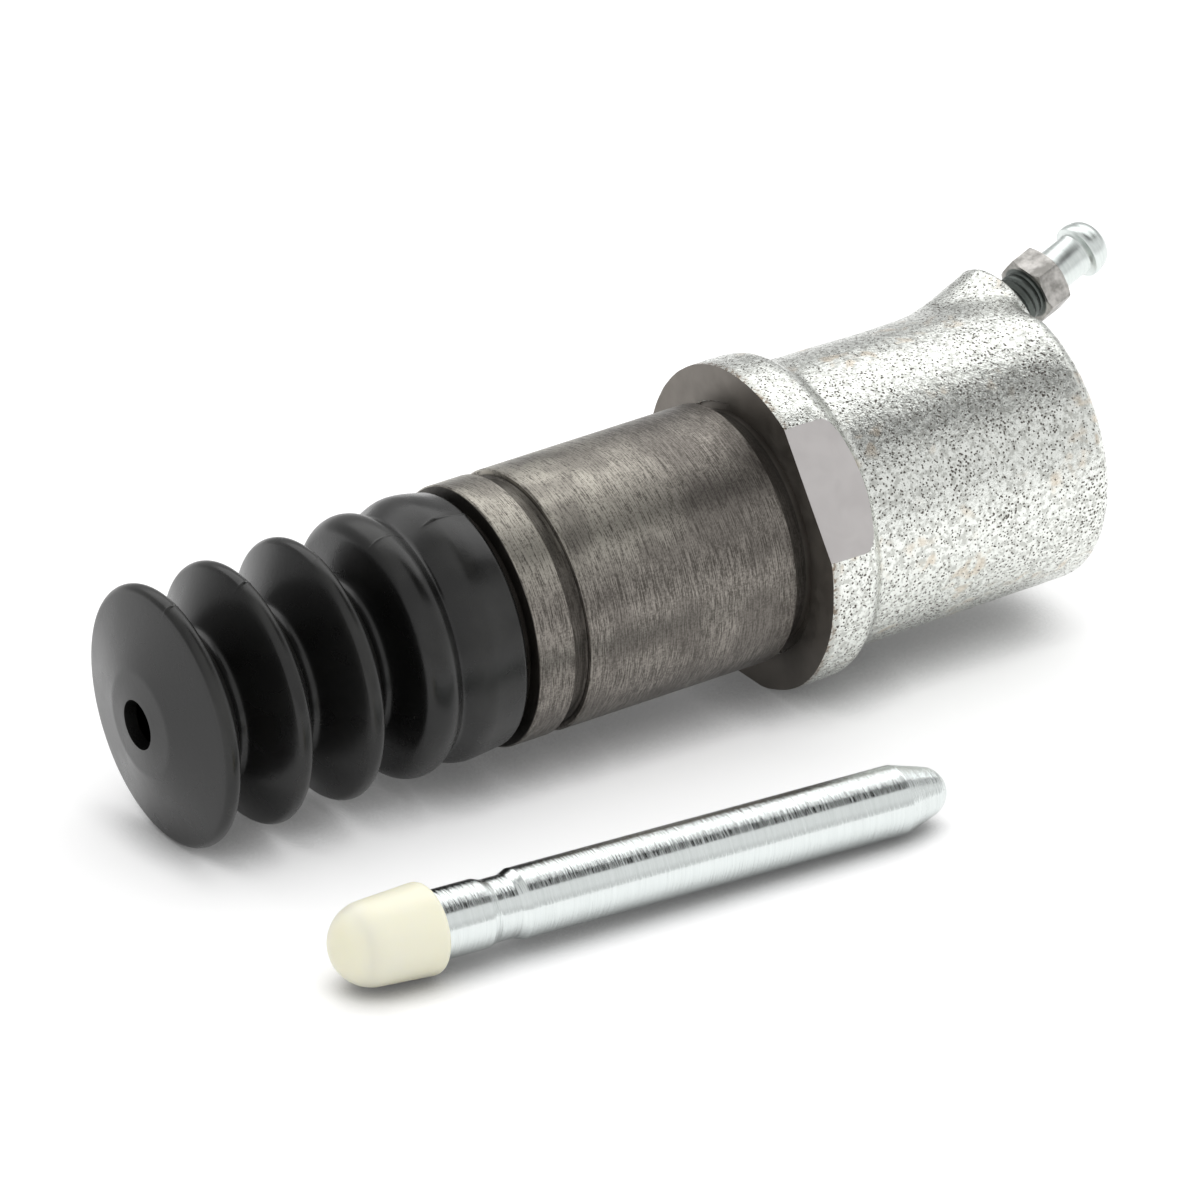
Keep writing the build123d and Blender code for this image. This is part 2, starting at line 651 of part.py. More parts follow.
def rod_place():
    """Where the push rod lies on the table: local +X runs from the cap's tip to the rod's nose."""
    rim_x = CAP_LENGTH - CAP_RIM_ROUND
    rod_slope = atan((CAP_RIM_R - ROD_R) / (ROD_CONE_START - rim_x))
    tip_height = CAP_RIM_R / cos(rod_slope) + rim_x * sin(rod_slope)
    table_z = -BOOT_RIM_R - (ROD_TIP_X - FIRST_RIM_X) * tan(TABLE_SLOPE)
    tip_z = table_z + tip_height / cos(TABLE_SLOPE)
    pitch = degrees(TABLE_SLOPE + rod_slope)
    return Pos(ROD_TIP_X, -ROD_BESIDE, tip_z) * Rot(0, 0, ROD_HEADING) * Rot(0, pitch, 0)


def push_rod():
    """Rod with a shallow recess for the boot's nose, a taper and a round nose."""
    nose = (ROD_LENGTH - ROD_NOSE_R, 0, ROD_NOSE_R)
    taper = tangent_outline([(ROD_CONE_START, ROD_R, 0), nose], last_normal=(1, 0))
    shank = Polyline(
        (ROD_LENGTH, 0),
        (CAP_WALL_END, 0),
        (CAP_WALL_END, ROD_CAP_END_R - ROD_END_CHAMFER),
        (CAP_WALL_END + ROD_END_CHAMFER, ROD_CAP_END_R),
        (ROD_RECESS_START, ROD_CAP_END_R),
        (ROD_RECESS_START + ROD_RECESS_SLOPE, ROD_RECESS_R),
        (ROD_RECESS_END - ROD_RECESS_SLOPE, ROD_RECESS_R),
        (ROD_RECESS_END, ROD_R),
        (ROD_CONE_START, ROD_R),
    )
    return rod_place() * revolve(make_face([shank, *taper]), Axis.X, 360)


def push_rod_cap():
    """Nylon cap with a domed end, pushed on the rod's plain end."""
    dome = (CAP_DOME_R, 0, CAP_DOME_R)
    rim = (CAP_LENGTH - CAP_RIM_ROUND, CAP_RIM_R - CAP_RIM_ROUND, CAP_RIM_ROUND)
    outside = tangent_outline([dome, rim], first_normal=(-1, 0), last_normal=(1, 0))
    bore_r = ROD_CAP_END_R + CAP_FIT
    start, end = outline_ends(outside)
    inside = Polyline(end, (CAP_LENGTH, bore_r), (CAP_WALL_END, bore_r), (CAP_WALL_END, 0), start)
    return rod_place() * revolve(make_face([*outside, inside]), Axis.X, 360)


def build():
    os.makedirs("parts", exist_ok=True)
    pieces = {
        "cylinder_body": cylinder_body(),
        "dust_boot": dust_boot(),
        "retaining_ring": retaining_ring(),
        "stop_washer": stop_washer(),
        "piston": piston(),
        "piston_seal": piston_seal(),
        "spring_seat": spring_seat(),
        "return_spring": return_spring(),
        "bleed_screw": bleed_screw(),
        "push_rod": push_rod(),
        "push_rod_cap": push_rod_cap(),
    }
    for name, shape in pieces.items():
        export_step(shape, f"parts/{name}.step")


build()
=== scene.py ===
from math import acos, atan, atan2, ceil, cos, hypot, pi, radians, sin, sqrt

import bpy
from mathutils import Matrix, Vector, noise as random_field


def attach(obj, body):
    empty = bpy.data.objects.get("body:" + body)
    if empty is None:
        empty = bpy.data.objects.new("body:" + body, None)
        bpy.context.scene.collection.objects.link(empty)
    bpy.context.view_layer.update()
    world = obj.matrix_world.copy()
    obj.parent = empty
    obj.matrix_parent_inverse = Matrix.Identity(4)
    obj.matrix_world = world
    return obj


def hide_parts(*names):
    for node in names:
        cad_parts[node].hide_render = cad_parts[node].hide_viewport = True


# Looks for a clutch slave cylinder that lies on a pale table, its push rod beside it.
# Metres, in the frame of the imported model: +X along the bore to the rear, +Z up.
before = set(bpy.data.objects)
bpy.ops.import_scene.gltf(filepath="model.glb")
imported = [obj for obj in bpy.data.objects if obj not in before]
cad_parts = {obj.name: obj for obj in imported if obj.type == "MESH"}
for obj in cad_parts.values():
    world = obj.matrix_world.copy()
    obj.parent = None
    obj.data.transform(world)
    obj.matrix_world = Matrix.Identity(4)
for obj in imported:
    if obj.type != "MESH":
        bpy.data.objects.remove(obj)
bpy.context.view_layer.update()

MM = 0.001

# Camera: the photo's viewing direction and its framing, for a square picture
CAMERA_BACK = Vector((-0.46, -0.7632, 0.4537)).normalized()
CAMERA_UP_SLOPE = radians(3.08)
CAMERA_TARGET = Vector((-24.43, -1.35, -3.31)) * MM
CAMERA_DISTANCE = 1.65
CAMERA_LENS = 354.0
CAMERA_SENSOR = 36.0

# Sizes of the cylinder that the pieces and finishes follow
BORE_AXIS = (1, 0, 0)
BLEED_LEAN = radians(33.3)
BOSS_TILT = radians(17.7)
BOSS_R = 7.8 * MM
BOSS_FACE_X = 51.3 * MM
BOSS_FACE_OFFSET = 17.6 * MM
FLAT_OFFSET = 21.8 * MM
FLANGE_R = 23.85 * MM
FLANGE_REACH = 23.88 * MM
FLANGE_LAND = 5.7 * MM
FLANGE_ROUND = 3.5 * MM
FLANGE_FILLET = 2.0 * MM
FLANGE_BACK_SLOPE = 0.1 * MM
BODY_R = 21.2 * MM
BODY_REAR_R = 20.98 * MM
BODY_LENGTH = 49.8 * MM
BODY_ROUND = 3.0 * MM
BARREL_R = 19.0 * MM
SHOULDER_X = -45.2 * MM
NOSE_X = -55.2 * MM
NOSE_R = 16.4 * MM
UNDERCUT_R = 17.2 * MM
FACE_GROOVE_R = 18.4 * MM
FACE_GROOVE_DEPTH = 0.7 * MM
PORT_FINISH_R = 6.5 * MM
HEX_AT = 5.3 * MM
NECK_AT = 9.5 * MM

# Sizes of the boot
BOOT_NOSE_X = -98.5 * MM
BOOT_RIM_X = -94.0 * MM
BOOT_RIM_R = 18.9 * MM
BOOT_PITCH = 11.5 * MM
BOOT_VALLEY_R = 11.0 * MM
BOOT_HOLE_R = 3.35 * MM
CUFF_END_X = -46.5 * MM

# The table touches the boot's first rim and the flange, so it slopes against the bore
TABLE_SLOPE = atan((FLANGE_REACH - BOOT_RIM_R) / (FLANGE_LAND - BOOT_RIM_X))
TABLE_SIZE = 12.0
TABLE_COLOUR = (0.80, 0.80, 0.80)
TABLE_LIFT = 0.32
CONTACT_REACH = 11 * MM
CONTACT_SHADE = 0.25

# Brightness of the studio's parts and of the two lamps, where 1 is white
LOW_FRONT_LIGHT = 0.72
FRONT_LIGHT = 0.88
SIDE_LIGHT = 0.8
CEILING_LIGHT = 0.0
REAR_LIGHT = 0.5
SOFTBOX_LIGHT = 1.25
FILL_LIGHT = 1.15

# Angles, from the front (-Y) over the top to the rear, between which the next part takes over
FRONT_FROM = (radians(4), radians(24))
ABOVE_FROM = (radians(51), radians(58))
REAR_FROM = (radians(94), radians(102))

# Turned surfaces mirror to the camera only directions with this x, so the dark slot lies there
MIRRORED_X = 0.46
SLOT_EDGE = (0.20, 0.38)

BLEED_SIDE = Vector((0, sin(BLEED_LEAN), cos(BLEED_LEAN)))
FLAT_SIDE = Vector((0, -cos(BLEED_LEAN), sin(BLEED_LEAN)))
SCREW_AXIS = Vector((cos(BOSS_TILT), 0, 0)) + BLEED_SIDE * sin(BOSS_TILT)
BOSS_FACE = Vector((BOSS_FACE_X, 0, 0)) + BLEED_SIDE * BOSS_FACE_OFFSET

# Where the push rod lies
ROD_TIP = Vector((-100.1, -53.1, -11.9)) * MM
ROD_HEADING = radians(0.4)
ROD_PITCH = radians(4.0)
ROD_LEVEL = cos(ROD_PITCH)
ROD_AXIS = Vector((cos(ROD_HEADING) * ROD_LEVEL, sin(ROD_HEADING) * ROD_LEVEL, -sin(ROD_PITCH)))


# Shader helpers

def new_material(name):
    """An empty node material with a shader and an output."""
    material = bpy.data.materials.new(name)
    material.use_nodes = True
    tree = material.node_tree
    tree.nodes.clear()
    shader = tree.nodes.new("ShaderNodeBsdfPrincipled")
    output = tree.nodes.new("ShaderNodeOutputMaterial")
    tree.links.new(shader.outputs["BSDF"], output.inputs["Surface"])
    return material, tree, shader


def plug(tree, socket, value):
    """Links a socket to another socket's value, or sets it."""
    if isinstance(value, bpy.types.NodeSocket):
        tree.links.new(value, socket)
    else:
        socket.default_value = value


def calc(tree, operation, first, second=0.0, third=0.0):
    node = tree.nodes.new("ShaderNodeMath")
    node.operation = operation
    for socket, value in zip(node.inputs, (first, second, third)):
        plug(tree, socket, value)
    return node.outputs[0]


def vector_calc(tree, operation, first, second=(0, 0, 0)):
    node = tree.nodes.new("ShaderNodeVectorMath")
    node.operation = operation
    plug(tree, node.inputs[0], first)
    plug(tree, node.inputs["Scale" if operation == "SCALE" else 1], second)
    return node.outputs["Value" if operation in ("DOT_PRODUCT", "LENGTH") else "Vector"]


def position(tree):
    return tree.nodes.new("ShaderNodeTexCoord").outputs["Object"]


def split(tree, vector):
    node = tree.nodes.new("ShaderNodeSeparateXYZ")
    plug(tree, node.inputs[0], vector)
    return node.outputs


def noise(tree, vector, scale, detail=2.0, roughness=0.5, distortion=0.0):
    node = tree.nodes.new("ShaderNodeTexNoise")
    plug(tree, node.inputs["Vector"], vector)
    plug(tree, node.inputs["Scale"], scale)
    plug(tree, node.inputs["Detail"], detail)
    plug(tree, node.inputs["Roughness"], roughness)
    plug(tree, node.inputs["Distortion"], distortion)
    return node.outputs["Fac"]


def spots(tree, vector, scale):
    """Distance from the nearest of many scattered points, in cell sizes."""
    node = tree.nodes.new("ShaderNodeTexVoronoi")
    plug(tree, node.inputs["Vector"], vector)
    node.inputs["Scale"].default_value = scale
    return node.outputs["Distance"]


def between(tree, value, low, high, out_low=0.0, out_high=1.0):
    """Maps value from low..high smoothly to out_low..out_high, held at both ends."""
    node = tree.nodes.new("ShaderNodeMapRange")
    node.interpolation_type = "SMOOTHSTEP"
    for socket, number in zip(node.inputs, (value, low, high, out_low, out_high)):
        plug(tree, socket, number)
    return node.outputs["Result"]


def blend(tree, factor, first, second):
    """Mixes two colours."""
    node = tree.nodes.new("ShaderNodeMix")
    node.data_type = "RGBA"
    plug(tree, node.inputs[0], factor)
    for socket, value in ((node.inputs[6], first), (node.inputs[7], second)):
        plug(tree, socket, value if isinstance(value, bpy.types.NodeSocket) else (*value, 1.0))
    return node.outputs[2]


def mix_values(tree, factor, first, second):
    node = tree.nodes.new("ShaderNodeMix")
    for socket, value in zip(node.inputs[0:1] + node.inputs[2:4], (factor, first, second)):
        plug(tree, socket, value)
    return node.outputs[0]


def bump(tree, height, distance, strength=1.0):
    node = tree.nodes.new("ShaderNodeBump")
    plug(tree, node.inputs["Strength"], strength)
    plug(tree, node.inputs["Distance"], distance)
    plug(tree, node.inputs["Height"], height)
    return node.outputs["Normal"]


def along_axis(tree, place, axis):
    """How far a place lies along an axis, that stretch as a vector, and the rest of the place."""
    reach = vector_calc(tree, "DOT_PRODUCT", place, axis)
    axial = vector_calc(tree, "SCALE", axis, reach)
    return reach, axial, vector_calc(tree, "SUBTRACT", place, axial)


def round_axis(tree, place, axis, along, around):
    """Stretches a place so that a noise of scale 1 runs in rings round the axis."""
    _, axial, aside = along_axis(tree, place, axis)
    rings = vector_calc(tree, "SCALE", axial, along)
    stretched = vector_calc(tree, "SCALE", aside, around)
    return vector_calc(tree, "ADD", rings, stretched)


def across_marks(tree, place, axis):
    """The way across turning marks: along the axis on a shaft and outward on a face."""
    _, _, aside = along_axis(tree, place, axis)
    return vector_calc(tree, "ADD", vector_calc(tree, "NORMALIZE", aside), axis)


def distance_from_bore(tree, place):
    parts = split(tree, place)
    square = calc(tree, "ADD", calc(tree, "POWER", parts[1], 2.0), calc(tree, "POWER", parts[2], 2.0))
    return calc(tree, "SQRT", square)


def dress(node_name, material):
    """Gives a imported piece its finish."""
    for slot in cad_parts[node_name].material_slots:
        slot.material = material


# Colours of the iron body

DULL_ZINC = (0.56, 0.57, 0.535)
BRIGHT_ZINC = (0.86, 0.88, 0.84)
RUST = (0.68, 0.57, 0.44)
PIT = (0.12, 0.11, 0.098)
SCORCH = (0.24, 0.20, 0.16)
DARK_STREAK = (0.105, 0.095, 0.084)
LIGHT_STREAK = (0.33, 0.305, 0.275)
# Painted highlight: a lighter iron laid along the barrel's top
PAINTED_TOP_HIGHLIGHT = (0.50, 0.475, 0.415)
SMUDGE = (0.12, 0.108, 0.098)
# Painted shade: near black on the shoulder and the nose in front of it
SHOULDER_PAINTED_SHADE = (0.02, 0.018, 0.016)
# Painted shade: dark in the ring groove, undercut, face groove and on the nose
GROOVE_PAINTED_SHADE = (0.045, 0.04, 0.035)
DARK_FACE = (0.12, 0.108, 0.094)
LIGHT_FACE = (0.22, 0.20, 0.178)
DARK_MILLED = (0.53, 0.505, 0.50)
LIGHT_MILLED = (0.65, 0.625, 0.615)

# A finish ends between these distances from the surface it belongs to
FINISH_NEAR = 0.02 * MM
FINISH_FAR = 0.06 * MM


# Finishes

def cast_skin(tree, place, pits, patches):
    """Colour, roughness and height of the zinc plated casting: pitted, mottled, here and there rusty."""
    mottle = noise(tree, place, 1250.0, 2.0, 0.6)
    lumps = noise(tree, place, 520.0, 1.0, 0.5)
    colour = blend(tree, between(tree, mottle, 0.36, 0.58), DULL_ZINC, BRIGHT_ZINC)
    rusty = between(tree, lumps, 0.45, 0.65, 0.0, 0.55)
    rusty = between(tree, patches, 0.56, 0.68, 0.0, rusty)
    colour = blend(tree, rusty, colour, RUST)
    ragged = calc(tree, "MULTIPLY_ADD", pits, 0.9, calc(tree, "MULTIPLY", patches, 0.35))
    from_pit = calc(tree, "ADD", spots(tree, place, 1900.0), ragged)
    pitted = between(tree, from_pit, 0.83, 0.95, 1.0, 0.0)
    colour = blend(tree, pitted, colour, PIT)
    by_face = between(tree, split(tree, place)[0], 0.3 * MM, 1.5 * MM, 1.0, 0.0)
    scorched = calc(tree, "MULTIPLY", by_face, between(tree, mottle, 0.38, 0.62))
    colour = blend(tree, scorched, colour, SCORCH)
    rough = mix_values(tree, pitted, 0.22, 0.5)
    height = calc(tree, "MULTIPLY_ADD", mottle, 0.45, pits)
    height = calc(tree, "MULTIPLY_ADD", lumps, 0.6, height)
    return colour, rough, height


def turned_skin(tree, place, pits, patches):
    """Colour, roughness and height of the turned barrel and face: streaks, a painted highlight along the
    barrel's top, painted shade on the shoulder, nose and in the grooves.
    """
    x, _, z = split(tree, place)
    lines = noise(tree, round_axis(tree, place, BORE_AXIS, 8500.0, 420.0), 1.0, 2.0, 0.6)
    wide = noise(tree, round_axis(tree, place, BORE_AXIS, 2300.0, 60.0), 1.0, 2.0, 0.6)
    streaks = calc(tree, "ADD", calc(tree, "MULTIPLY", lines, 0.52), calc(tree, "MULTIPLY", wide, 0.14))
    streaks = calc(tree, "ADD", streaks, calc(tree, "MULTIPLY", pits, 0.34))
    colour = blend(tree, between(tree, streaks, 0.41, 0.61), DARK_STREAK, LIGHT_STREAK)
    # Painted highlight: the barrel's top turns to a lighter iron, most towards its front
    top_highlight = between(tree, z, 7 * MM, 15 * MM)
    top_highlight = calc(tree, "MULTIPLY", top_highlight, between(tree, x, -32 * MM, -10 * MM, 0.9, 0.1))
    top_highlight = calc(tree, "MULTIPLY", top_highlight, between(tree, streaks, 0.36, 0.56))
    colour = blend(tree, top_highlight, colour, PAINTED_TOP_HIGHLIGHT)
    # Painted shade: the shoulder and the nose in front of it go near black
    shoulder_shade = between(tree, x, SHOULDER_X + 0.02 * MM, SHOULDER_X + 0.15 * MM, 0.9, 0.0)
    colour = blend(tree, shoulder_shade, colour, SHOULDER_PAINTED_SHADE)
    by_flange = between(tree, x, -18 * MM, -3 * MM, 0.0, 0.10)
    smudged = between(tree, calc(tree, "ADD", patches, by_flange), 0.46, 0.66)
    colour = blend(tree, calc(tree, "MULTIPLY", smudged, 0.45), colour, SMUDGE)
    # Painted shade: turned surfaces inside 18.1 mm go dark, that is the ring groove, undercut, face groove and
    # nose
    groove_shade = between(tree, distance_from_bore(tree, place), 18.1 * MM, 18.4 * MM, 0.7, 0.0)
    colour = blend(tree, groove_shade, colour, GROOVE_PAINTED_SHADE)
    on_face = between(tree, x, -0.35 * MM, -0.1 * MM)
    colour = blend(tree, on_face, colour, blend(tree, patches, DARK_FACE, LIGHT_FACE))
    rough = between(tree, lines, 0.3, 0.7, 0.45, 0.37)
    height = calc(tree, "MULTIPLY", streaks, mix_values(tree, on_face, 0.5, 0.15))
    return colour, rough, height


def turned_area(tree, place):
    """1 on everything turned or bored, 0 on the casting's skin."""
    x = split(tree, place)[0]
    r = distance_from_bore(tree, place)
    in_front = between(tree, x, FACE_GROOVE_DEPTH, FACE_GROOVE_DEPTH + 0.05 * MM, 1.0, 0.0)
    in_groove = between(tree, r, FACE_GROOVE_R + 0.02 * MM, FACE_GROOVE_R + 0.08 * MM, 1.0, 0.0)
    at_face = between(tree, x, FINISH_NEAR, FINISH_FAR, 1.0, 0.0)
    turned = calc(tree, "MULTIPLY", in_front, calc(tree, "MAXIMUM", in_groove, at_face))
    port = between(tree, r, PORT_FINISH_R - 0.1 * MM, PORT_FINISH_R, 1.0, 0.0)
    return calc(tree, "MAXIMUM", turned, port)


def milled_area(tree, place):
    """1 on the flange's two flats."""
    beside = calc(tree, "ABSOLUTE", vector_calc(tree, "DOT_PRODUCT", place, FLAT_SIDE))
    inner = between(tree, beside, FLAT_OFFSET - FINISH_FAR, FLAT_OFFSET - FINISH_NEAR)
    outer = between(tree, beside, FLAT_OFFSET + FINISH_NEAR, FLAT_OFFSET + FINISH_FAR, 1.0, 0.0)
    return calc(tree, "MULTIPLY", inner, outer)


def cast_and_turned():
    """The whole iron body: zinc plated casting, dark turned barrel and face, milled flats."""
    material, tree, shader = new_material("cast_and_turned_iron")
    place = position(tree)
    pits = noise(tree, place, 3000.0, 3.0, 0.65)
    patches = noise(tree, place, 130.0, 2.0, 0.5)
    arcs = noise(tree, place, 260.0, 2.0, 0.5, 0.8)
    cast_colour, cast_rough, cast_height = cast_skin(tree, place, pits, patches)
    turned_colour, turned_rough, turned_height = turned_skin(tree, place, pits, patches)
    milled_colour = blend(tree, arcs, DARK_MILLED, LIGHT_MILLED)
    turned = turned_area(tree, place)
    milled = milled_area(tree, place)

    colour = blend(tree, turned, cast_colour, turned_colour)
    plug(tree, shader.inputs["Base Color"], blend(tree, milled, colour, milled_colour))
    rough = mix_values(tree, turned, cast_rough, turned_rough)
    plug(tree, shader.inputs["Roughness"], mix_values(tree, milled, rough, 0.36))
    shader.inputs["Metallic"].default_value = 1.0
    height = mix_values(tree, turned, cast_height, turned_height)
    height = mix_values(tree, milled, height, calc(tree, "MULTIPLY", arcs, 0.05))
    plug(tree, shader.inputs["Normal"], bump(tree, height, 0.08 * MM))
    plug(tree, shader.inputs["Anisotropic"], calc(tree, "MULTIPLY", turned, 0.8))
    plug(tree, shader.inputs["Tangent"], across_marks(tree, place, BORE_AXIS))
    return material


def black_rubber():
    """Moulded rubber: matte, faintly dusty on the pleats' rims."""
    material, tree, shader = new_material("black_rubber")
    place = position(tree)
    r = distance_from_bore(tree, place)
    fine = noise(tree, place, 1500.0, 2.0, 0.5)
    cloud = noise(tree, place, 90.0, 3.0, 0.6)
    rim = between(tree, r, 17.4 * MM, 18.9 * MM, 0.0, 0.7)
    dust = calc(tree, "MULTIPLY", rim, between(tree, cloud, 0.3, 0.8))
    colour = blend(tree, cloud, (0.0035, 0.0035, 0.0033), (0.006, 0.006, 0.0057))
    plug(tree, shader.inputs["Base Color"], blend(tree, dust, colour, (0.03, 0.03, 0.028)))
    plug(tree, shader.inputs["Roughness"], between(tree, cloud, 0.3, 0.7, 0.23, 0.33))
    shader.inputs["Specular IOR Level"].default_value = 0.45
    plug(tree, shader.inputs["Normal"], bump(tree, fine, 0.02 * MM, 0.5))
    return material


def zinc_rod():
    """Zinc plated rod with turning marks right round it."""
    material, tree, shader = new_material("zinc_plated_rod")
    place = vector_calc(tree, "SUBTRACT", position(tree), ROD_TIP)
    rings = round_axis(tree, place, ROD_AXIS, 2900.0, 60.0)
    marks = noise(tree, rings, 1.0, 3.0, 0.7)
    cloud = noise(tree, place, 160.0, 2.0, 0.5)
    colour = blend(tree, marks, (0.66, 0.70, 0.69), (0.80, 0.84, 0.83))
    plug(tree, shader.inputs["Base Color"], colour)
    plug(tree, shader.inputs["Roughness"], between(tree, cloud, 0.3, 0.7, 0.09, 0.14))
    shader.inputs["Metallic"].default_value = 1.0
    plug(tree, shader.inputs["Normal"], bump(tree, marks, 0.12 * MM))
    return material


def ivory_nylon():
    """Slightly translucent moulded nylon."""
    material, tree, shader = new_material("ivory_nylon")
    place = position(tree)
    cloud = noise(tree, place, 120.0, 2.0, 0.5)
    colour = blend(tree, cloud, (0.98, 0.925, 0.69), (0.99, 0.95, 0.76))
    plug(tree, shader.inputs["Base Color"], colour)
    shader.inputs["Roughness"].default_value = 0.36
    shader.inputs["Subsurface Weight"].default_value = 0.35
    shader.inputs["Subsurface Radius"].default_value = (1.0, 0.85, 0.55)
    shader.inputs["Subsurface Scale"].default_value = 3.0 * MM
    fine = noise(tree, place, 700.0, 2.0, 0.5)
    plug(tree, shader.inputs["Normal"], bump(tree, fine, 0.01 * MM, 0.4))
    return material


def bleed_metal():
    """Dark phosphated thread, grey mottled hexagon, bright zinc nipple."""
    material, tree, shader = new_material("bleed_screw_metal")
    place = vector_calc(tree, "SUBTRACT", position(tree), BOSS_FACE)
    reach, _, aside = along_axis(tree, place, SCREW_AXIS)
    off_axis = vector_calc(tree, "LENGTH", aside)
    bright = between(tree, reach, NECK_AT - 0.05 * MM, NECK_AT + 0.05 * MM)
    on_hex = between(tree, off_axis, 3.85 * MM, 4.2 * MM)
    cloud = noise(tree, place, 420.0, 3.0, 0.6)
    fine = noise(tree, place, 2600.0, 2.0, 0.5)
    rings = round_axis(tree, place, SCREW_AXIS, 3000.0, 300.0)
    marks = noise(tree, rings, 1.0, 2.0, 0.5)
    hexagon = blend(tree, between(tree, cloud, 0.35, 0.7), (0.28, 0.272, 0.255), (0.62, 0.60, 0.575))
    thread = blend(tree, cloud, (0.07, 0.08, 0.075), (0.16, 0.175, 0.165))
    dark = blend(tree, on_hex, thread, hexagon)
    zinc = blend(tree, marks, (0.60, 0.65, 0.63), (0.84, 0.88, 0.86))
    plug(tree, shader.inputs["Base Color"], blend(tree, bright, dark, zinc))
    plug(tree, shader.inputs["Roughness"], mix_values(tree, bright, 0.42, 0.32))
    shader.inputs["Metallic"].default_value = 1.0
    height = mix_values(tree, bright, fine, marks)
    plug(tree, shader.inputs["Normal"], bump(tree, height, 0.03 * MM, 0.7))
    return material


def plain_metal(name, dark, light, rough):
    """Turned or drawn metal of the inner pieces."""
    material, tree, shader = new_material(name)
    marks = noise(tree, round_axis(tree, position(tree), BORE_AXIS, 3000.0, 300.0), 1.0, 2.0, 0.5)
    plug(tree, shader.inputs["Base Color"], blend(tree, marks, dark, light))
    plug(tree, shader.inputs["Roughness"], between(tree, marks, 0.3, 0.7, rough, rough + 0.08))
    shader.inputs["Metallic"].default_value = 1.0
    plug(tree, shader.inputs["Normal"], bump(tree, marks, 0.02 * MM, 0.6))
    return material


# Shape helpers

def tangent_points(circles, step, first_normal=None, last_normal=None):
    """Points on lines and arcs that touch each circle (x, radius, signed round) in turn."""
    normals = [first_normal]
    for (x1, r1, s1), (x2, r2, s2) in zip(circles, circles[1:]):
        lean = atan2(r2 - r1, x2 - x1) + acos((s1 - s2) / hypot(x2 - x1, r2 - r1))
        normals.append((cos(lean), sin(lean)))
    normals.append(last_normal)
    points = []
    for (x, r, s), before, after in zip(circles, normals, normals[1:]):
        before = before or after
        after = after or before
        first = atan2(before[1], before[0])
        last = atan2(after[1], after[0])
        count = max(1, ceil(abs(last - first) * abs(s) / step))
        for i in range(count + 1 if s else 1):
            angle = first + (last - first) * i / count
            points.append((x + s * cos(angle), r + s * sin(angle)))
    return points


def refined(points, step):
    """The same outline with its long lines cut into shorter ones."""
    result = [points[0]]
    for (x1, r1), (x2, r2) in zip(points, points[1:]):
        count = max(1, ceil(hypot(x2 - x1, r2 - r1) / step))
        for i in range(1, count + 1):
            result.append((x1 + (x2 - x1) * i / count, r1 + (r2 - r1) * i / count))
    return result


def turned_mesh(name, rows, angles, radius_at, place, closed):
    """Rings of points round an axis: radius_at(x, r, angle) gives each point's radius.

    A row at r = 0 becomes one point on the axis. A closed outline joins its last row to its first.
    """
    verts, rings = [], []
    for x, r in rows:
        if r <= 0:
            rings.append([len(verts)])
            verts.append(place @ Vector((x, 0, 0)))
            continue
        rings.append(list(range(len(verts), len(verts) + len(angles))))
        for angle in angles:
            radius = radius_at(x, r, angle)
            verts.append(place @ Vector((x, radius * cos(angle), radius * sin(angle))))
    faces = []
    pairs = list(zip(rings, rings[1:]))
    if closed:
        pairs.append((rings[-1], rings[0]))
    count = len(angles)
    for low, high in pairs:
        for i in range(count):
            j = (i + 1) % count
            corners = [low[i % len(low)], low[j % len(low)], high[j % len(high)], high[i % len(high)]]
            face = list(dict.fromkeys(corners))
            if len(face) > 2:
                faces.append(face)
    mesh = bpy.data.meshes.new(name)
    mesh.from_pydata(verts, [], faces)
    mesh.update()
    piece = bpy.data.objects.new(name, mesh)
    bpy.context.collection.objects.link(piece)
    return piece


def even_angles(count):
    return [2 * pi * i / count for i in range(count)]


def plain_radius(x, r, angle):
    return r


def shade(piece, material, sharp_degrees):
    """Smooth shading with crisp edges over the given angle, and the finish."""
    for face in piece.data.polygons:
        face.use_smooth = True
    piece.data.set_sharp_from_angle(angle=radians(sharp_degrees))
    piece.data.materials.clear()
    piece.data.materials.append(material)


def screw_place():
    """Local +X runs out of the boss along the bleed screw; local Z leans to the bleed side."""
    across = SCREW_AXIS.cross(BLEED_SIDE).normalized() * -1
    upward = SCREW_AXIS.cross(across)
    turn = Matrix((SCREW_AXIS, across, upward)).transposed().to_4x4()
    return Matrix.Translation(BOSS_FACE) @ turn


# Boot

PARTING_ANGLES = (radians(102), radians(282))
FLASH_HEIGHT = 0.17 * MM
FLASH_HALF_WIDTH = radians(0.8)
FLASH_FROM_R = 17.8 * MM
RIM_ROUND = 1.3 * MM
VALLEY_ROUND = 1.1 * MM
LAST_RIM_ROUND = 3.2 * MM
LAST_RIM_RISE = 0.15 * MM
EDGE_ROUND = 0.25 * MM
CUFF_LENGTH = 8.6 * MM
CUFF_FROM_R = 17 * MM
CUFF_SWELL = 0.45 * MM
CUFF_ROUND = 1.0 * MM
SEAT_PLAY = 0.05 * MM
WALL_UNEVENNESS = 0.10 * MM


def boot_angles():
    """Even steps, with finer ones at the two parting lines of the mould."""
    angles = even_angles(240)
    for line in PARTING_ANGLES:
        angles = [a for a in angles if abs(a - line) > radians(1.6)]
        angles += [line + radians(d) for d in (-1.2, -0.7, -0.35, 0, 0.35, 0.7, 1.2)]
    return sorted(angles)


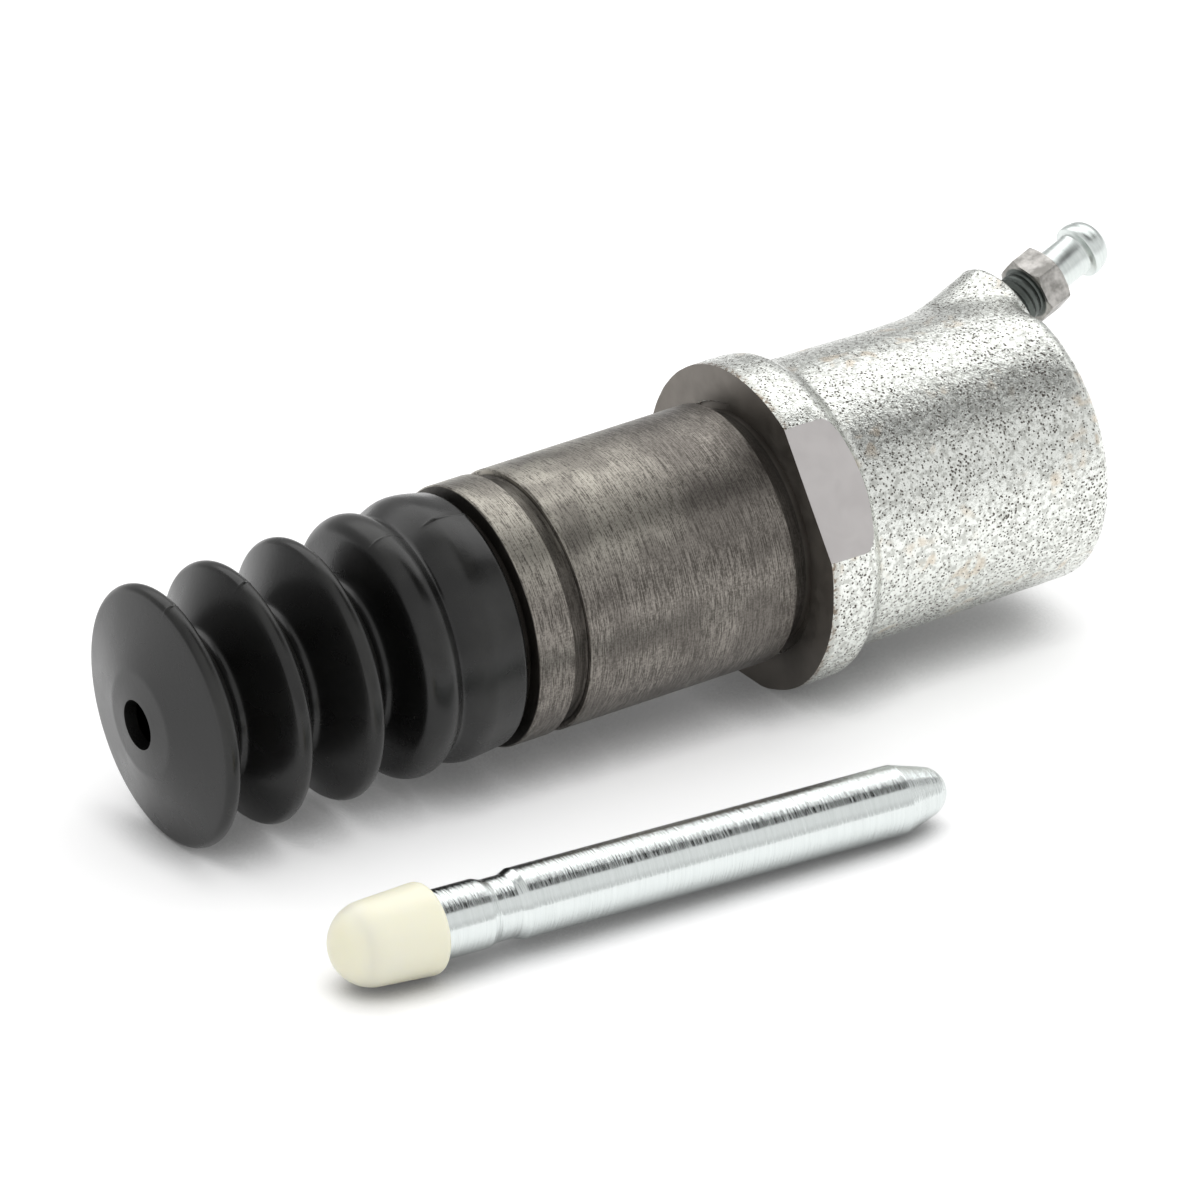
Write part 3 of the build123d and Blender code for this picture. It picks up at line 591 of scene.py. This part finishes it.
def boot_radius(x, r, angle):
    """Adds torn flash on the rims' parting lines, the cuff's high crown and an uneven wall."""
    radius = r
    for line in PARTING_ANGLES:
        off = abs(angle - line)
        if off < FLASH_HALF_WIDTH and r > FLASH_FROM_R:
            torn = max(0.0, 0.35 + random_field.noise(Vector((x * 700, line * 7, 0))))
            radius += FLASH_HEIGHT * torn * (1 - off / FLASH_HALF_WIDTH)
    if CUFF_END_X - CUFF_LENGTH < x < CUFF_END_X and r > CUFF_FROM_R:
        swell = sin(pi * (CUFF_END_X - x) / CUFF_LENGTH) ** 2
        radius += CUFF_SWELL * swell * max(0.0, sin(angle)) ** 2
    sag = random_field.noise(Vector((x * 60, cos(angle) * 1.3, sin(angle) * 1.3)))
    return radius + WALL_UNEVENNESS * sag * min(1.0, r / (10 * MM))


def boot_outline():
    """The boot's closed outline: outside from the nose to the cuff, then back inside."""
    seat_r = NOSE_R + SEAT_PLAY
    crease = (BOOT_NOSE_X + 6.35 * MM, 6.5 * MM)
    outer = [(BOOT_NOSE_X + EDGE_ROUND, BOOT_HOLE_R + EDGE_ROUND, EDGE_ROUND), (*crease, 6.0 * MM)]
    inner = [(BOOT_NOSE_X + 1.8 * MM, BOOT_HOLE_R, 0), (*crease, 4.2 * MM)]
    for i in range(4):
        x = BOOT_RIM_X + i * BOOT_PITCH
        inner.append((x, 16.0 * MM, 0.5 * MM))
        if i == 3:
            outer.append((x - 0.4 * MM, BOOT_RIM_R + LAST_RIM_RISE - LAST_RIM_ROUND, LAST_RIM_ROUND))
            outer.append((x + 3.0 * MM, 18.7 * MM, -VALLEY_ROUND))
        else:
            outer.append((x, BOOT_RIM_R - RIM_ROUND, RIM_ROUND))
            middle = (x + BOOT_PITCH / 2, BOOT_VALLEY_R + VALLEY_ROUND)
            outer.append((*middle, -VALLEY_ROUND))
            inner.append((*middle, -2.4 * MM))
    outer.append((x + 7.2 * MM, 13.95 * MM, 5.0 * MM))
    outer.append((CUFF_END_X - CUFF_ROUND, 17.5 * MM, CUFF_ROUND))
    inner.append((NOSE_X - SEAT_PLAY, seat_r, 0))
    outside = refined(tangent_points(outer, 0.2 * MM, (-1, 0), (1, 0)), 0.9 * MM)
    inside = refined(tangent_points(inner, 0.5 * MM), 2.0 * MM)
    return outside + [(CUFF_END_X, seat_r)] + inside[::-1]


def make_boot(material):
    place = Matrix.Identity(4)
    piece = turned_mesh("boot_with_parting_lines", boot_outline(), boot_angles(), boot_radius, place, True)
    shade(piece, material, 60)
    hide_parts("dust_boot")
    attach(piece, "cylinder")


# Bleed screw

SCREW_PITCH = 1.25 * MM
THREAD_START = 0.2 * MM
THREAD_END = 4.4 * MM
THREAD_HEIGHT = 0.42 * MM
THREAD_ROWS = 90
SHANK_R = 3.55 * MM
HEX_ACROSS = 9.0 * MM
HEX_TURN = radians(48.2)
HEX_SECTOR = radians(60)
HEX_CHAMFER = 0.35 * MM
HEX_CHAMFER_DROP = 0.6 * MM
CHAMFER_ROWS = 4
NECK_R = 3.1 * MM
BARB_R = 4.05 * MM
DOME_ROWS = 8
SCREW_END = 19.4 * MM
SCREW_BORE_R = 1.2 * MM
SCREW_BORE_END = -10.0 * MM


def screw_radius(x, r, angle):
    """The thread between boss and hexagon, and the hexagon's flats."""
    if THREAD_START < x < THREAD_END and r > 3 * MM:
        turn = (x / SCREW_PITCH - angle / (2 * pi)) % 1.0
        ridge = abs(turn - 0.5) * 2
        fade = min(1.0, (x - THREAD_START) / MM, (THREAD_END - x) / MM)
        return r + THREAD_HEIGHT * (ridge - 0.5) * fade
    if HEX_AT - 0.01 * MM < x < NECK_AT + 0.01 * MM and r > 4 * MM:
        sector = (angle - HEX_TURN + HEX_SECTOR / 2) % HEX_SECTOR - HEX_SECTOR / 2
        flat = HEX_ACROSS / 2 / cos(HEX_SECTOR / 2 - abs(sector))
        return min(r, flat)
    return r


def screw_outline():
    """Outline of the bleed screw from its tip in the boss to the end of the nipple, and its bore."""
    corner = HEX_ACROSS / 2 / cos(HEX_SECTOR / 2)
    lowered = corner - HEX_CHAMFER_DROP
    barb_x = NECK_AT + 6.3 * MM
    dome_x = barb_x + 1.4 * MM
    tip_x = -13.24 * MM
    pin_r = 2.3 * MM
    points = [(tip_x, 0), (tip_x, 0.8 * MM), (-11.73 * MM, pin_r), (-8.73 * MM, pin_r), (-8.43 * MM, SHANK_R)]
    for i in range(THREAD_ROWS + 1):
        points.append((THREAD_START + (THREAD_END - THREAD_START) * i / THREAD_ROWS, SHANK_R))
    points += [(HEX_AT - 0.35 * MM, 3.35 * MM), (HEX_AT - 0.1 * MM, 3.5 * MM), (HEX_AT, 3.7 * MM)]
    points.append((HEX_AT, lowered))
    for i in range(1, CHAMFER_ROWS + 1):
        share = i / CHAMFER_ROWS
        points.append((HEX_AT + HEX_CHAMFER * share, lowered + (corner - lowered) * share))
    points.append((HEX_AT + 1.9 * MM, corner))
    for i in range(CHAMFER_ROWS + 1):
        share = i / CHAMFER_ROWS
        points.append((NECK_AT - HEX_CHAMFER * (1 - share), corner - (corner - lowered) * share))
    points += [
        (NECK_AT, 3.5 * MM), (NECK_AT + 0.15 * MM, 3.2 * MM), (NECK_AT + 0.4 * MM, NECK_R),
        (barb_x - 0.9 * MM, NECK_R), (barb_x - 0.35 * MM, 3.2 * MM), (barb_x - 0.05 * MM, 3.55 * MM),
        (barb_x, 3.8 * MM), (barb_x + 0.08 * MM, 3.97 * MM), (barb_x + 0.25 * MM, BARB_R),
        (dome_x - 0.2 * MM, BARB_R), (dome_x, 3.95 * MM),
    ]
    for i in range(1, DOME_ROWS + 1):
        angle = radians(90) * i / DOME_ROWS
        dome_r = 2.5 * MM + 1.45 * MM * cos(angle) ** 1.3
        points.append((dome_x + (SCREW_END - dome_x) * sin(angle), dome_r))
    points += [(SCREW_END, 1.5 * MM), (SCREW_END - 0.3 * MM, SCREW_BORE_R)]
    return points + [(SCREW_BORE_END, SCREW_BORE_R), (SCREW_BORE_END, 0)]


def make_bleed_screw(material):
    angles = even_angles(144)
    piece = turned_mesh("threaded_bleed_screw", screw_outline(), angles, screw_radius, screw_place(), False)
    shade(piece, material, 32)
    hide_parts("bleed_screw")
    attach(piece, "bleed_valve")


# Casting

CAST_VOXEL = 0.42 * MM
STOCK = 2 * MM
BLEND_REACH = 7.5 * MM
BLEND_FADE = 3 * MM
BLEND_STEPS = 260
EVEN_STEPS = 4
COARSE_SKIN = 0.10
FINE_SKIN = 0.05

# Cutting tools start clear of the casting on all sides
TOOL_FRONT_X = -60 * MM
TOOL_R = 40 * MM

BOSS_ROOT = -28 * MM
BOSS_BREAK = 0.5 * MM
EDGE_BREAK = 0.25 * MM
FACE_BREAK = 0.22 * MM
NOSE_BREAK = 0.8 * MM
PLUG_END_X = 2.0 * MM
RING_GROOVE_R = 17.7 * MM
RING_GROOVE_X = SHOULDER_X + 5.9 * MM
RING_GROOVE_WIDTH = 2.5 * MM
BEAD_SEAT_R = NOSE_R - 1.2 * MM
BEAD_SEAT_X = NOSE_X + 2.6 * MM
BEAD_SEAT_WIDTH = 3 * MM
BORE_R = 11.1 * MM
BORE_END_X = 27.95 * MM
CIRCLIP_R = 11.65 * MM
CIRCLIP_FRONT_X = -52.65 * MM
CIRCLIP_REAR_X = -51.55 * MM
PORT_R = 5.46 * MM
PORT_END_X = BODY_LENGTH - 12.0 * MM
PORT_DRILLING_R = 1.75 * MM
THREAD_HOLE_R = 3.6 * MM
BLEED_DRILLING_R = 1.25 * MM
BLEED_DRILLING_END = -29.6 * MM


def apply_modifiers(piece):
    """Puts the result of a piece's modifiers into a plain mesh."""
    graph = bpy.context.evaluated_depsgraph_get()
    mesh = bpy.data.meshes.new_from_object(piece.evaluated_get(graph))
    piece.modifiers.clear()
    piece.data = mesh


def cut(piece, tool, operation):
    """Cuts or joins with a tool body, which is then gone."""
    modifier = piece.modifiers.new("cut", "BOOLEAN")
    modifier.operation = operation
    modifier.solver = "MANIFOLD"
    modifier.object = tool
    apply_modifiers(piece)
    bpy.data.objects.remove(tool)


def lathe(name, points, count=192, place=Matrix.Identity(4), closed=True):
    return turned_mesh(name, points, even_angles(count), plain_radius, place, closed)


def rough_blank():
    """Flange and body as cast, with stock in front of the face, joined to the boss."""
    apart = FLANGE_ROUND + FLANGE_FILLET + FLANGE_BACK_SLOPE
    round_r = FLANGE_REACH - FLANGE_ROUND
    hollow_r = BODY_R + FLANGE_FILLET
    hollow_x = FLANGE_LAND + sqrt(apart**2 - (hollow_r - round_r) ** 2)
    circles = [
        (FLANGE_LAND, round_r, FLANGE_ROUND),
        (hollow_x, hollow_r, -FLANGE_FILLET),
        (BODY_LENGTH - BODY_ROUND, BODY_REAR_R - BODY_ROUND, BODY_ROUND),
    ]
    outline = tangent_points(circles, 0.4 * MM, (0, 1), (1, 0))
    front = -STOCK
    blank = lathe("blank", [(front, 0), (front, FLANGE_R)] + outline + [(BODY_LENGTH, 0)], closed=False)
    boss_points = [(BOSS_ROOT, 0), (BOSS_ROOT, BOSS_R), (-BOSS_BREAK, BOSS_R), (0, BOSS_R - BOSS_BREAK), (0, 0)]
    boss = lathe("boss", boss_points, 96, screw_place(), False)
    cut(blank, boss, "UNION")
    remesh = blank.modifiers.new("even", "REMESH")
    remesh.mode = "VOXEL"
    remesh.voxel_size = CAST_VOXEL
    apply_modifiers(blank)
    return blank


def blend_weight(point):
    """How much the seam between boss and body is smoothed at a point."""
    local = point - BOSS_FACE
    reach = local.dot(SCREW_AXIS)
    off_axis = (local - SCREW_AXIS * reach).length
    from_boss = abs(off_axis - BOSS_R)
    from_body = abs(hypot(point.y, point.z) - BODY_R)
    seam = hypot(from_boss, from_body)
    if reach > -1.2 * MM:
        return 0.0
    return max(0.0, min(1.0, (BLEND_REACH - seam) / BLEND_FADE))


def soften_seam(piece):
    """Smooths the crotch between boss and body to a cast fillet, and the voxel steps everywhere."""
    group = piece.vertex_groups.new(name="seam")
    for vertex in piece.data.vertices:
        weight = blend_weight(vertex.co)
        if weight > 0:
            group.add([vertex.index], weight, "REPLACE")
    soften = piece.modifiers.new("soften", "SMOOTH")
    soften.factor = 0.5
    soften.iterations = BLEND_STEPS
    soften.vertex_group = "seam"
    even = piece.modifiers.new("even", "SMOOTH")
    even.factor = 0.5
    even.iterations = EVEN_STEPS
    apply_modifiers(piece)


def make_uneven(piece):
    """Moves the cast skin in and out, by 0.15 mm at most."""
    for vertex in piece.data.vertices:
        outward = Vector((0, vertex.co.y, vertex.co.z)).normalized()
        uneven = random_field.noise(vertex.co * 130) * COARSE_SKIN
        uneven += random_field.noise(vertex.co * 420) * FINE_SKIN
        vertex.co += outward * uneven * MM


def make_casting(material):
    """The iron body, made as in the foundry and the shop: cast blank, then turned, bored and milled."""
    piece = rough_blank()
    soften_seam(piece)
    make_uneven(piece)
    cut(piece, facing_tool(), "DIFFERENCE")
    cut(piece, turned_front(), "UNION")
    cut(piece, bore_tool(), "DIFFERENCE")
    cut(piece, bleed_drilling(), "DIFFERENCE")
    for side in (-1, 1):
        cut(piece, flat_cutter(side), "DIFFERENCE")
    shade(piece, material, 30)
    for face in piece.data.polygons:
        if abs(abs(face.center.dot(FLAT_SIDE)) - FLAT_OFFSET) < 0.005 * MM:
            face.use_smooth = False
    piece.name = "cast_and_machined_body"
    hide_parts("cylinder_body")
    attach(piece, "cylinder")


def facing_tool():
    """Takes the stock off in front of the flange and cuts the ring groove into its face."""
    core_r = UNDERCUT_R - 2 * MM
    points = [
        (TOOL_FRONT_X, core_r), (TOOL_FRONT_X, TOOL_R), (0, TOOL_R), (0, FACE_GROOVE_R + FACE_BREAK),
        (FACE_BREAK, FACE_GROOVE_R), (FACE_GROOVE_DEPTH, FACE_GROOVE_R), (FACE_GROOVE_DEPTH, core_r),
    ]
    return lathe("facing", points)


def turned_front():
    """Nose, shoulder, snap ring groove, barrel and undercut, with small breaks at the edges."""
    edge = EDGE_BREAK
    groove = RING_GROOVE_X
    groove_end = groove + RING_GROOVE_WIDTH
    bead_end = BEAD_SEAT_X + BEAD_SEAT_WIDTH
    points = [
        (NOSE_X, 0), (NOSE_X, NOSE_R - NOSE_BREAK), (NOSE_X + NOSE_BREAK, NOSE_R), (BEAD_SEAT_X, NOSE_R),
        (BEAD_SEAT_X, BEAD_SEAT_R), (bead_end, BEAD_SEAT_R), (bead_end, NOSE_R),
        (SHOULDER_X, NOSE_R), (SHOULDER_X, BARREL_R - edge), (SHOULDER_X + edge, BARREL_R),
        (groove - edge, BARREL_R), (groove, BARREL_R - edge), (groove, RING_GROOVE_R + edge),
        (groove + edge, RING_GROOVE_R), (groove_end - edge, RING_GROOVE_R), (groove_end, RING_GROOVE_R + edge),
        (groove_end, BARREL_R - edge), (groove_end + edge, BARREL_R), (-3.0 * MM, BARREL_R),
        (-2.1 * MM, UNDERCUT_R), (PLUG_END_X, UNDERCUT_R), (PLUG_END_X, 0),
    ]
    return lathe("front", points, closed=False)


def bore_tool():
    """Bore with the circlip's groove, its drilled end, the port's drilling and the inlet port."""
    mouth_x = NOSE_X - MM
    port_out_x = BODY_LENGTH + MM
    points = [
        (mouth_x, 0), (mouth_x, BORE_R + 1.8 * MM), (NOSE_X + 0.8 * MM, BORE_R),
        (CIRCLIP_FRONT_X, BORE_R), (CIRCLIP_FRONT_X, CIRCLIP_R), (CIRCLIP_REAR_X, CIRCLIP_R),
        (CIRCLIP_REAR_X, BORE_R), (BORE_END_X, BORE_R), (BORE_END_X, 7.0 * MM),
        (BORE_END_X + 3.0 * MM, PORT_DRILLING_R), (PORT_END_X, PORT_DRILLING_R), (PORT_END_X, PORT_R),
        (BODY_LENGTH - 0.9 * MM, PORT_R), (port_out_x, PORT_R + 1.9 * MM), (port_out_x, 0),
    ]
    return lathe("bore", points, closed=False)


def bleed_drilling():
    """Drilling from the boss to the bore, with the bleed screw's seat and threaded hole."""
    points = [
        (BLEED_DRILLING_END, 0), (BLEED_DRILLING_END, BLEED_DRILLING_R), (-13.3 * MM, BLEED_DRILLING_R),
        (-11.0 * MM, THREAD_HOLE_R), (-0.4 * MM, THREAD_HOLE_R), (MM, THREAD_HOLE_R + 1.4 * MM), (MM, 0),
    ]
    return lathe("drilling", points, 64, screw_place(), False)


def flat_cutter(side):
    """A block whose inner side mills one of the flange's two flats."""
    normal = FLAT_SIDE * side
    along = BLEED_SIDE
    centre = Vector((4 * MM, 0, 0)) + normal * (FLAT_OFFSET + 10 * MM)
    verts = []
    for x in (-6 * MM, 8 * MM):
        for height in (-30 * MM, 30 * MM):
            for depth in (-10 * MM, 10 * MM):
                verts.append(centre + Vector((x, 0, 0)) + along * height + normal * depth)
    faces = [(0, 1, 3, 2), (4, 6, 7, 5), (0, 4, 5, 1), (2, 3, 7, 6), (0, 2, 6, 4), (1, 5, 7, 3)]
    mesh = bpy.data.meshes.new("flat_cutter")
    mesh.from_pydata(verts, [], faces)
    mesh.update()
    tool = bpy.data.objects.new("flat_cutter", mesh)
    bpy.context.collection.objects.link(tool)
    return tool


# Table, light and camera

def table_material():
    """Pale table, lifted to white for the camera and in reflections, darker where a piece is close."""
    material, tree, shader = new_material("white_table")
    shader.inputs["Roughness"].default_value = 0.7
    shader.inputs["Specular IOR Level"].default_value = 0.0
    under = tree.nodes.new("ShaderNodeAmbientOcclusion")
    under.samples = 4
    under.inputs["Distance"].default_value = CONTACT_REACH
    shaded = between(tree, under.outputs["AO"], 0.15, 0.75, CONTACT_SHADE, 1.0)
    plug(tree, shader.inputs["Base Color"], vector_calc(tree, "SCALE", TABLE_COLOUR, shaded))
    path = tree.nodes.new("ShaderNodeLightPath")
    seen = calc(tree, "ADD", path.outputs["Is Camera Ray"], path.outputs["Is Glossy Ray"])
    seen = calc(tree, "ADD", seen, path.outputs["Is Transmission Ray"])
    lift = calc(tree, "MULTIPLY", calc(tree, "MINIMUM", seen, 1.0), TABLE_LIFT)
    shader.inputs["Emission Color"].default_value = (1.0, 1.0, 1.0, 1.0)
    plug(tree, shader.inputs["Emission Strength"], calc(tree, "MULTIPLY", lift, shaded))
    material.cycles.emission_sampling = "NONE"
    return material


def make_table():
    """A large sheet through the two places where the cylinder rests."""
    mesh = bpy.data.meshes.new("table")
    half = TABLE_SIZE / 2
    corners = [(-half, -half, 0), (half, -half, 0), (half, half, 0), (-half, half, 0)]
    mesh.from_pydata(corners, [], [(0, 1, 2, 3)])
    table = bpy.data.objects.new("table", mesh)
    bpy.context.collection.objects.link(table)
    foot = Vector((FLANGE_LAND, 0, -FLANGE_REACH))
    table.matrix_world = Matrix.Translation(foot) @ Matrix.Rotation(TABLE_SLOPE, 4, "Y")
    mesh.materials.append(table_material())


def make_camera():
    """The photo's camera: far away, level with the table, looking down at it."""
    camera = bpy.data.objects.new("camera", bpy.data.cameras.new("camera"))
    bpy.context.collection.objects.link(camera)
    table_up = Vector((sin(CAMERA_UP_SLOPE), 0, cos(CAMERA_UP_SLOPE)))
    right = table_up.cross(CAMERA_BACK).normalized()
    up = CAMERA_BACK.cross(right)
    turn = Matrix((right, up, CAMERA_BACK)).transposed().to_4x4()
    camera.matrix_world = Matrix.Translation(CAMERA_TARGET + CAMERA_BACK * CAMERA_DISTANCE) @ turn
    camera.data.lens = CAMERA_LENS
    camera.data.sensor_width = CAMERA_SENSOR
    camera.data.clip_start = 0.05
    camera.data.clip_end = 50.0
    bpy.context.scene.camera = camera


def make_world():
    """A studio with a bright front and a dark slot overhead, out of the camera's sight."""
    world = bpy.data.worlds.new("studio")
    bpy.context.scene.world = world
    world.use_nodes = True
    tree = world.node_tree
    tree.nodes.clear()
    output = tree.nodes.new("ShaderNodeOutputWorld")
    way = split(tree, tree.nodes.new("ShaderNodeTexCoord").outputs["Generated"])
    angle = calc(tree, "ARCTAN2", way[2], calc(tree, "MULTIPLY", way[1], -1.0))
    front = between(tree, angle, *FRONT_FROM, LOW_FRONT_LIGHT, FRONT_LIGHT)
    aside = calc(tree, "ABSOLUTE", calc(tree, "SUBTRACT", way[0], MIRRORED_X))
    slot = between(tree, aside, *SLOT_EDGE, 1.0, 0.0)
    above = mix_values(tree, slot, SIDE_LIGHT, CEILING_LIGHT)
    above = mix_values(tree, between(tree, angle, *REAR_FROM), above, REAR_LIGHT)
    level = mix_values(tree, between(tree, angle, *ABOVE_FROM), front, above)
    background = tree.nodes.new("ShaderNodeBackground")
    background.inputs["Color"].default_value = (1.0, 1.0, 1.0, 1.0)
    plug(tree, background.inputs["Strength"], level)
    tree.links.new(background.outputs[0], output.inputs["Surface"])


def softbox(name, way, distance, width, height, radiance):
    """An area lamp that looks at the middle of the scene and renders at the given brightness."""
    lamp = bpy.data.lights.new(name, "AREA")
    lamp.shape = "RECTANGLE"
    lamp.size = width
    lamp.size_y = height
    lamp.energy = radiance * pi * width * height
    lamp_object = bpy.data.objects.new(name, lamp)
    bpy.context.collection.objects.link(lamp_object)
    way = Vector(way).normalized()
    turn = way.to_track_quat("Z", "X").to_matrix().to_4x4()
    lamp_object.matrix_world = Matrix.Translation(CAMERA_TARGET + way * distance) @ turn
    return lamp_object


make_camera()
make_table()
make_world()
softbox("overhead", way=(0.30, 0.47, 0.75), distance=1.3, width=1.05, height=2.4, radiance=SOFTBOX_LIGHT)
fill = softbox("fill", way=(0.15, -0.22, 0.95), distance=1.3, width=1.2, height=1.2, radiance=FILL_LIGHT)
fill.visible_glossy = False

iron = cast_and_turned()
rubber = black_rubber()
bleed_finish = bleed_metal()
dress("cylinder_body", iron)
dress("dust_boot", rubber)
dress("bleed_screw", bleed_finish)
dress("push_rod", zinc_rod())
dress("push_rod_cap", ivory_nylon())
dress("retaining_ring", plain_metal("dark_spring_steel", (0.08, 0.08, 0.085), (0.2, 0.2, 0.21), 0.35))
dress("stop_washer", plain_metal("stamped_steel", (0.4, 0.4, 0.4), (0.6, 0.6, 0.6), 0.35))
dress("piston", plain_metal("anodised_alloy", (0.5, 0.5, 0.52), (0.7, 0.7, 0.72), 0.3))
dress("piston_seal", rubber)
dress("spring_seat", plain_metal("turned_steel", (0.35, 0.35, 0.36), (0.55, 0.55, 0.56), 0.3))
dress("return_spring", plain_metal("spring_wire", (0.14, 0.14, 0.15), (0.3, 0.3, 0.32), 0.3))

make_boot(rubber)
make_bleed_screw(bleed_finish)
make_casting(iron)

bpy.context.scene.view_settings.view_transform = "Standard"
